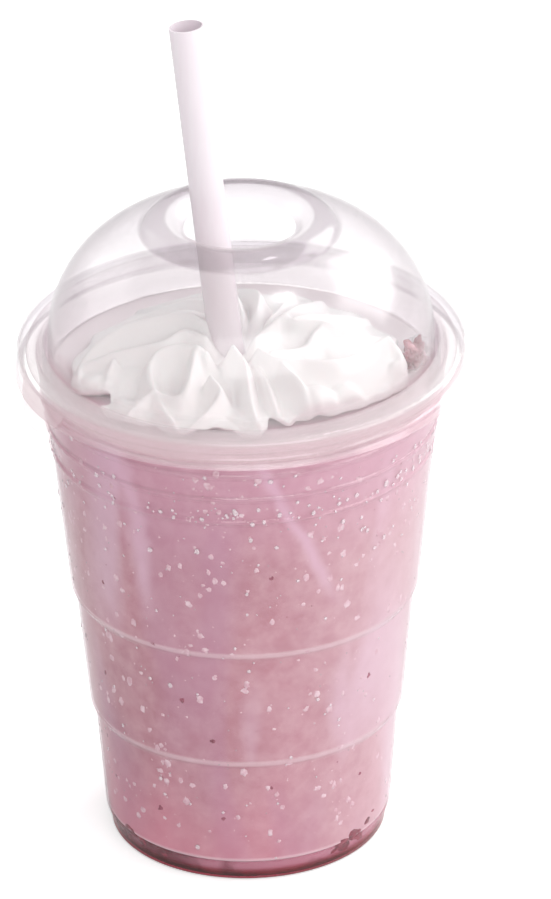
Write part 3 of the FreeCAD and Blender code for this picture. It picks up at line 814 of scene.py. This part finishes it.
def cream_height(x, y):
    """Height of the cream over a point of its plan, in millimetres."""
    swell = 0.8 * noise.noise(Vector((x * 0.09, y * 0.09, 3.0)))
    share = math.hypot(x, y) * MM / edge_radius(math.atan2(y, x))
    tops = [VALLEY_TOP + swell - VALLEY_FALL * share ** VALLEY_CURVE] + [flank(line, x, y) for line in crests]
    for lobe_x, lobe_y, centre_z, size in LOBES:
        inside = size * size - (x - lobe_x) ** 2 - (y - lobe_y) ** 2
        if inside > 0:
            tops.append(centre_z + math.sqrt(inside))
    high = max(tops)
    total = sum(math.exp((h - high) / BLEND) for h in tops if h > high - 5)
    dents = sum(deep * math.exp(-((x - hx) / wx) ** 2 - ((y - hy) / wy) ** 2)
                for hx, hy, wx, wy, deep in HOLLOWS)
    return high + BLEND * math.log(total) - dents


# %% [markdown]
# The hem does not lie flat on the drink. Between the folds it stands a millimetre
# or so off the froth, and the gap under it reads as a short dark arch.

# %% Gaps under the hem, as (degrees, millimetres of lift, width in degrees)
HEM_GAPS = [(202.5, 1.0, 4.0), (224.7, 1.2, 3.2), (252.9, 1.1, 3.5), (258.9, 1.5, 5.0),
            (264.8, 1.1, 3.5), (284.9, 1.2, 3.0), (305.7, 1.0, 3.0)]


def hem_gap(angle):
    """How far the hem stands off the drink towards an angle in radians, in millimetres."""
    a = math.degrees(angle) % 360
    return max(lift * math.exp(-((a - where) / wide) ** 2) for where, lift, wide in HEM_GAPS)


# %% [markdown]
# The skin of the cream is one net of rings and spokes. The rings go by an angle, as
# on a globe: from the top at 90 degrees, over the hem at 0, and curling under it to
# minus 38. Two powers bring the rings closer together near the hem, where the cream
# is steep.

# %% Points of the cream
CREAM_TURNS = 420
CREAM_RINGS = 84
CURL_UNDER = 38             # degrees past the hem
PLAN_POWER, RISE_POWER = 0.8, 0.3
TUCK_IN = 0.22              # how far an arch cuts in under the hem
INTO_FROTH = 0.05 * MM
HEM_LIFT = 1.1 * MM
cream_low, cream_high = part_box("whipped_cream")
CREAM_FOOT = cream_low[2]
verts = []
for j in range(CREAM_RINGS):
    lean = math.radians(90 - (90 + CURL_UNDER) * (j + 1) / CREAM_RINGS)
    under = math.sin(lean) / math.sin(math.radians(CURL_UNDER))
    for k in range(CREAM_TURNS):
        a = 2 * math.pi * k / CREAM_TURNS
        share = math.cos(lean) ** PLAN_POWER
        gap = hem_gap(a)
        if lean < 0:
            share *= 1 + TUCK_IN * min(1.0, gap) * under
        reach = edge_radius(a) * share
        x, y = reach * math.cos(a), reach * math.sin(a)
        hem = CREAM_FOOT + HEM_LIFT + gap * MM
        if lean >= 0:
            z = hem + (cream_height(x / MM, y / MM) * MM - hem) * math.sin(lean) ** RISE_POWER
        else:
            z = hem + (hem - CREAM_FOOT) * under - INTO_FROTH
        verts.append((x, y, z))
verts.append((0.0, 0.0, cream_height(0, 0) * MM))
verts.append((0.0, 0.0, CREAM_FOOT - INTO_FROTH))
print("cream: top at", round(max(v[2] for v in verts) / MM, 1), "mm, designed", round(cream_high[2] / MM, 1))

# %% Whipped cream
top, bottom = len(verts) - 2, len(verts) - 1
faces = [(top, k, (k + 1) % CREAM_TURNS) for k in range(CREAM_TURNS)]
for j in range(CREAM_RINGS - 1):
    start, after = j * CREAM_TURNS, (j + 1) * CREAM_TURNS
    for k in range(CREAM_TURNS):
        n = (k + 1) % CREAM_TURNS
        faces.append((start + k, after + k, after + n, start + n))
start = (CREAM_RINGS - 1) * CREAM_TURNS
faces += [(start + (k + 1) % CREAM_TURNS, start + k, bottom) for k in range(CREAM_TURNS)]
mesh = bpy.data.meshes.new("whipped_cream_piped")
mesh.from_pydata(verts, [], faces)
mesh.shade_smooth()
cream = bpy.data.objects.new("whipped_cream_piped", mesh)
scene.collection.objects.link(cream)
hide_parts("whipped_cream")
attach(cream, "root")
print("cream:", len(faces), "faces")

# %% [markdown]
# Whipped cream is milk fat full of air bubbles. Light goes a little way in before
# it comes out, so shadows are soft, and the bubbles, about a millimetre here so
# that they show, make it matt. Deep in a fold light bounces between two walls and
# comes out greyer, and a share for what stands close by lays that on.

# %% Whipped cream's finish
BUBBLE = 1.111
cream_mix, tree, out = new_material("whipped_cream_dairy")
place = add(tree, "ShaderNodeTexCoord")
air = add(tree, "ShaderNodeTexNoise", {"Scale": every(BUBBLE), "Detail": 3.0},
          {"Vector": place.outputs["Object"]})
bump = add(tree, "ShaderNodeBump", {"Strength": 0.12, "Distance": 0.08 * MM},
           {"Height": air.outputs["Fac"]})
tone = add(tree, "ShaderNodeMix", {"data_type": "RGBA", 6: linear("#F8F6F6"), 7: linear("#FEFDFC")},
           {0: air.outputs["Fac"]})
shut_in = add(tree, "ShaderNodeAmbientOcclusion", {"samples": 8, "Distance": 7.0 * MM})
folded = add(tree, "ShaderNodeMapRange", {"From Min": 0.20, "From Max": 0.60, "To Min": 0.5, "To Max": 0.0},
             {"Value": shut_in.outputs["AO"]})
tone = add(tree, "ShaderNodeMix", {"data_type": "RGBA", 7: linear("#CFC0C5")},
           {0: folded.outputs[0], 6: tone.outputs[2]})
fat = add(tree, "ShaderNodeBsdfPrincipled",
          {"Roughness": 0.45, "IOR": 1.45, "Subsurface Weight": 0.2, "Subsurface Scale": 0.9 * MM,
           "Subsurface Radius": (1.0, 0.75, 0.8)},
          {"Base Color": tone.outputs[2], "Normal": bump.outputs[0]})
tree.links.new(fat.outputs[0], out.inputs["Surface"])
cream.data.materials.append(cream_mix)
print("cream's finish:", len(tree.nodes), "nodes")

# %% [markdown]
# Fruit, ice and flecks are all irregular lumps, and each kind is one mesh of many.
# A lump starts as a ball of triangles, is turned and stretched, and is pushed in
# and out by noise. A lump against the wall is cut flat there, as soft fruit is
# pressed against the plastic.

# %% Lumps
GOLDEN_ANGLE = 2.399        # radians, so that no two lumps are turned alike
COARSE_WAVES, FINE_WAVES = 1.3, 3.1         # over a ball with a radius of one


def lump_points(centre, size, seed, rough, detail):
    """Points and faces of one irregular lump, in metres."""
    ball = bmesh.new()
    bmesh.ops.create_icosphere(ball, subdivisions=detail, radius=1.0)
    axis = Vector((math.sin(seed), math.cos(seed * 1.7), 0.6)).normalized()
    spin = Matrix.Rotation(seed * GOLDEN_ANGLE, 3, axis)
    points = []
    for v in ball.verts:
        n = (noise.noise(v.co * COARSE_WAVES + Vector((seed, 0, 0)))
             + 0.5 * noise.noise(v.co * FINE_WAVES + Vector((0, seed, 0))))
        p = spin @ v.co * (1 + rough * n)
        points.append(Vector((p.x * size[0], p.y * size[1], p.z * size[2])) + centre)
    faces = [[v.index for v in f.verts] for f in ball.faces]
    ball.free()
    return points, faces


# %% [markdown]
# Thousands of flecks as thousands of objects would be slow to open and to handle,
# so each kind becomes one mesh. A limit on the radius cuts its lumps flat.

# %% Lumps as one piece
def one_piece(name, lumps, material, press=None):
    """One mesh object of many lumps. press limits a point's radius at its height."""
    points, faces = [], []
    for lump, lump_faces in lumps:
        start = len(points)
        for v in lump:
            if press:
                r, most = math.hypot(v.x, v.y), press(v.z)
                if r > most:
                    v = Vector((v.x * most / r, v.y * most / r, v.z))
            points.append(v)
        faces += [[i + start for i in face] for face in lump_faces]
    mesh = bpy.data.meshes.new(name)
    mesh.from_pydata(points, [], faces)
    mesh.shade_smooth()
    mesh.materials.append(material)
    obj = bpy.data.objects.new(name, mesh)
    scene.collection.objects.link(obj)
    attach(obj, "root")
    print(name + ":", len(lumps), "lumps,", len(faces), "faces")
    return obj


# %% [markdown]
# Whatever lies against the wall needs the wall's radius at its height. The rays
# that gave the drink's outline give it, and each answer is kept, since thousands
# of flecks ask for the same few heights.

# %% Places on the drink's side
WALL_LOW, WALL_HIGH = 1.0, 113.5            # millimetres, where a ray still meets a side
SYRUP_TOP, SHAKE_SIDE = 4.9, 5.1            # the syrup's side ends, the shake's begins
wall_radii = {}


def wall_reach(height):
    """Radius of the drink's or the syrup's side, looked up in half-millimetre steps."""
    key = max(WALL_LOW, min(WALL_HIGH, round(height / MM * 2) / 2))
    if key not in wall_radii:
        if key < SYRUP_TOP:
            wall_radii[key] = outline("strawberry_syrup", key * MM)
        else:
            wall_radii[key] = outline("milkshake", max(key, SHAKE_SIDE) * MM)
    return wall_radii[key]


def round_wall(height, degrees, inset):
    """A place just inside the drink's side."""
    r = wall_reach(height) - inset
    a = math.radians(degrees)
    return Vector((r * math.cos(a), r * math.sin(a), height))


def flat_at_wall(into):
    """A limit for one_piece: lumps are cut so many metres into the wall."""
    return lambda height: wall_reach(height) + into


print("wall at mid height:", round(wall_reach(60 * MM) / MM, 1), "mm from the axis")

# %% [markdown]
# Wet fruit, froth and ice share one recipe: two colours mixed by a grain, a low
# bump from the same grain, and a water film that keeps the roughness low. What
# differs is the colours, the grain's size, the roughness and the index. Real grain
# is a tenth of a millimetre, too fine to show, so it is drawn as blots of one to
# four millimetres, which still leave each lump with a pale and a dark part.

# %% Wet finish
def wet_material(name, deep, pale, grain_size, roughness, index):
    """Wet fruit, ice or froth. The grain's size is in millimetres."""
    material, tree, out = new_material(name)
    place = add(tree, "ShaderNodeTexCoord")
    grain = add(tree, "ShaderNodeTexNoise", {"Scale": every(grain_size), "Detail": 3.0},
                {"Vector": place.outputs["Object"]})
    blend = add(tree, "ShaderNodeMapRange", {"From Min": 0.36, "From Max": 0.64},
                {"Value": grain.outputs["Fac"]})
    mix = add(tree, "ShaderNodeMix", {"data_type": "RGBA", 6: linear(deep), 7: linear(pale)},
              {0: blend.outputs[0]})
    bump = add(tree, "ShaderNodeBump", {"Strength": 0.3, "Distance": 0.15 * MM},
               {"Height": grain.outputs["Fac"]})
    wet = add(tree, "ShaderNodeBsdfPrincipled", {"Roughness": roughness, "IOR": index},
              {"Base Color": mix.outputs[2], "Normal": bump.outputs[0]})
    tree.links.new(wet.outputs[0], out.inputs["Surface"])
    return material


# %% [markdown]
# Beside the cream lies a bit of cut strawberry, pale inside and redder at its
# skin, with a smaller bit next to it. Its flesh is nearly all water, so it has
# water's index, 1.36 with its sugar. It stands where the designed one does.

# %% Strawberry piece
flesh = wet_material("strawberry_flesh_cut", "#8A2C44", "#E2A9B4", 3.846, 0.25, 1.36)
berry_low, berry_high = (Vector(c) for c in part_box("strawberry_piece"))
berry_mid = (berry_low + berry_high) / 2
berry_size = (berry_high - berry_low) / 2
bits = [lump_points(berry_mid + Vector((-0.9 * MM, -0.2 * MM, -0.2 * MM)), berry_size * 1.02, 3.0, 0.75, 5),
        lump_points(berry_mid + Vector((-2.6 * MM, -2.6 * MM, -0.6 * MM)), berry_size * 0.6, 9.0, 0.8, 4)]
berry = one_piece("strawberry_cut_piece", bits, flesh)
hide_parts("strawberry_piece")

# %% [markdown]
# A lump of crushed ice has half thawed beside it. Ice is clear, but crushed ice is
# full of cracks and froth, so it reads as pale grey, with a smooth wet skin.

# %% Ice
ice_mix = wet_material("half_thawed_ice", "#C9C2C6", "#E4DDE1", 3.846, 0.12, 1.31)
ice_mid = Vector((berry_mid.x + 0.2 * MM, berry_high.y + 2.6 * MM, SHAKE_LEVEL + 1.6 * MM))
bits = [lump_points(ice_mid, (2.6 * MM, 2.9 * MM, 2.3 * MM), 11.0, 0.3, 4),
        lump_points(ice_mid + Vector((-1.7 * MM, 2.0 * MM, -0.7 * MM)), (1.7 * MM, 1.9 * MM, 1.4 * MM),
                    13.0, 0.3, 3)]
one_piece("ice_lump", bits, ice_mix)

# %% [markdown]
# Dark strawberry lumps have sunk into the foot and are pressed against the wall,
# a few together at the right front and at the left, and single ones round the back.

# %% Fruit in the foot
FOOT_FRUIT = [      # degrees round the cup, height and radius in millimetres
    (-47, 4.4, 3.1), (-42, 6.0, 2.4), (-37, 4.4, 2.4), (-52, 3.6, 1.3), (-33, 7.4, 1.5), (-29, 9.0, 0.9),
    (-141, 4.6, 2.2), (-148, 5.4, 2.6), (-157, 4.4, 1.9), (-128, 3.4, 1.2), (24, 4.8, 2.4), (61, 4.2, 1.8),
    (97, 5.2, 2.7), (133, 4.4, 2.0), (171, 5.0, 2.3)]
FLATTENED = 0.72            # a lump's height to its width
foot_flesh = wet_material("strawberry_lumps_sunk", "#5E0820", "#9C2A48", 2.0, 0.3, 1.36)
lumps = [lump_points(round_wall(z * MM, degrees, 0.55 * r * MM), (r * MM, r * MM, FLATTENED * r * MM),
                     7.3 + i, 0.4, 3)
         for i, (degrees, z, r) in enumerate(FOOT_FRUIT)]
one_piece("strawberry_lumps", lumps, foot_flesh, press=flat_at_wall(0.16 * MM))

# %% [markdown]
# Fine specks of ice and fat lie thickly against the wall. Most are half a millimetre
# wide and a few are two, which a high power of a random number gives. They gather in
# drifts, as stirring leaves them, and every third lies anywhere.

# %% Pale flecks
FLECKS, DRIFTS = 2400, 60
FLECK_LOW, FLECK_HIGH = 8, 113              # millimetres above the table
BIG_FLECK = 0.5                             # from here on a fleck gets more faces
random.seed(5)
pale_mix = wet_material("ice_and_milk_fat_flecks", "#D2A6B4", "#E6CCD5", 1.4286, 0.35, 1.33)
drifts = [(random.uniform(0, 360), random.choice((random.uniform(86, 110), random.uniform(12, 84))),
           random.uniform(4, 13), random.uniform(2.5, 9)) for _ in range(DRIFTS)]
lumps = []
for i in range(FLECKS):
    degrees, z, wide, tall = random.choice(drifts)
    degrees, z = random.gauss(degrees, wide), random.gauss(z, tall)
    if i % 3 == 0 or not FLECK_LOW < z < FLECK_HIGH:
        degrees, z = random.uniform(0, 360), random.uniform(FLECK_LOW, FLECK_HIGH)
    r = 0.17 + 0.9 * random.random() ** 3.4
    lumps.append(lump_points(round_wall(z * MM, degrees, 0.35 * r * MM),
                             (r * MM, r * MM, r * MM * random.uniform(0.7, 1.5)), 20.0 + i, 0.5,
                             1 if r < BIG_FLECK else 2))
one_piece("pale_flecks", lumps, pale_mix, press=flat_at_wall(0.14 * MM))

# %% [markdown]
# Bits of strawberry skin are fewer and darker, and lie anywhere.

# %% Fruit flecks
SKIN_FLECKS = 110
dark_mix = wet_material("strawberry_skin_flecks", "#7A2A40", "#A85870", 1.4286, 0.35, 1.36)
lumps = []
for i in range(SKIN_FLECKS):
    z = random.uniform(10, 108)
    r = 0.22 + 0.65 * random.random() ** 4
    lumps.append(lump_points(round_wall(z * MM, random.uniform(0, 360), 0.35 * r * MM),
                             (r * MM, r * MM, r * MM), 900.0 + i, 0.6, 1 if r < BIG_FLECK else 2))
one_piece("fruit_flecks", lumps, dark_mix, press=flat_at_wall(0.14 * MM))

# %% [markdown]
# Cold plastic sweats. Water gathers on the outside of the cup as flat domes, from a
# third of a millimetre to a millimetre and a half wide, most of them at the ribs.
# Each drop is a cap of a few rings that stands on the wall where a ray meets it.

# %% One drop
DROP_SIDES = 9
DROP_RINGS = ((1.0, -0.04), (0.86, 0.14), (0.55, 0.25))     # share of the radius, rise off the wall
DROP_TOP, DROP_FOOT = 0.29, 0.04
SLOPE_STEP = 0.4 * MM       # the wall's slope is read from two rays so far apart


def drop_points(height, degrees, radius, drawn):
    """A flat dome of water on the cup's outside, a little longer than wide."""
    a = math.radians(degrees)
    here, above = outline("cup", height), outline("cup", height + SLOPE_STEP)
    outward = Vector((math.cos(a), math.sin(a), 0.0))
    up = (outward * (above - here) + Vector((0, 0, SLOPE_STEP))).normalized()
    along = up.cross(outward).normalized()
    normal = along.cross(up)
    if normal.dot(outward) < 0:
        normal = -normal
    centre = outward * here + Vector((0, 0, height))
    points = []
    for share, rise in DROP_RINGS:
        for k in range(DROP_SIDES):
            t = 2 * math.pi * k / DROP_SIDES
            uneven = 1 + 0.12 * math.sin(2 * t + height * 9000)
            points.append(centre + along * (radius * share * math.cos(t) * uneven)
                          + up * (radius * drawn * share * math.sin(t)) + normal * (radius * rise))
    points.append(centre + normal * (radius * DROP_TOP))
    points.append(centre - normal * (radius * DROP_FOOT))
    faces = []      # bands from ring to ring, then the cap on top and the foot
    for j in range(len(DROP_RINGS) - 1):
        start, after = j * DROP_SIDES, (j + 1) * DROP_SIDES
        for k in range(DROP_SIDES):
            n = (k + 1) % DROP_SIDES
            faces.append([start + k, start + n, after + n, after + k])
    top, foot = len(points) - 2, len(points) - 1
    faces += [[after + k, after + (k + 1) % DROP_SIDES, top] for k in range(DROP_SIDES)]
    faces += [[(k + 1) % DROP_SIDES, k, foot] for k in range(DROP_SIDES)]
    return points, faces


# %% [markdown]
# Water is clear with an index of 1.33, so it shows as a bright edge and a small
# mirror of the room. Each drop also bends pale light to the eye, and at this size
# that reads as a white veil over it, a little uneven from one drop to the next.

# %% Water
VEIL = 0.42
MIST = 3.333                # millimetres, so that neighbours differ
water, tree, out = new_material("water_condensed")
place = add(tree, "ShaderNodeTexCoord")
mist = add(tree, "ShaderNodeTexNoise", {"Scale": every(MIST)}, {"Vector": place.outputs["Object"]})
shade = add(tree, "ShaderNodeMix", {"data_type": "RGBA", 6: linear("#F0DEE5"), 7: linear("#FFFFFF")},
            {0: mist.outputs["Fac"]})
clear = add(tree, "ShaderNodeBsdfTransparent", None, {"Color": shade.outputs[2]})
bright = add(tree, "ShaderNodeBsdfDiffuse", {"Color": linear("#FBF4F7")})
veil = add(tree, "ShaderNodeMixShader", {0: VEIL}, {1: clear.outputs[0], 2: bright.outputs[0]})
lean = add(tree, "ShaderNodeLayerWeight", {"Blend": 0.5})
graze = add(tree, "ShaderNodeMath", {"operation": "POWER", 1: 3.0}, {0: lean.outputs["Facing"]})
mirror = add(tree, "ShaderNodeMapRange", {"To Min": 0.05, "To Max": 0.30}, {"Value": graze.outputs[0]})
gloss = add(tree, "ShaderNodeBsdfGlossy", {"Color": (1, 1, 1, 1), "Roughness": 0.05})
drop = add(tree, "ShaderNodeMixShader", None, {0: mirror.outputs[0], 1: veil.outputs[0], 2: gloss.outputs[0]})
tree.links.new(drop.outputs[0], out.inputs["Surface"])
print("water:", len(tree.nodes), "nodes")

# %% Condensation
DROPS = 700
UNDER_RIBS = 0.4            # the share of drops that hang there
RIB_ROW = 100.9             # every fifth drop stands in a row at this height
random.seed(21)
lumps = []
for i in range(DROPS):
    under_ribs = random.random() < UNDER_RIBS
    z = random.uniform(84, 113) if under_ribs else random.uniform(6, 113)
    r = 0.16 + (0.62 if under_ribs else 0.45) * random.random() ** 3.2
    if i % 5 == 0:
        z, r = random.gauss(RIB_ROW, 0.9), random.uniform(0.2, 0.6)
    lumps.append(drop_points(z * MM, random.uniform(0, 360), r * MM, random.uniform(1.0, 1.35)))
one_piece("condensation_drops", lumps, water)
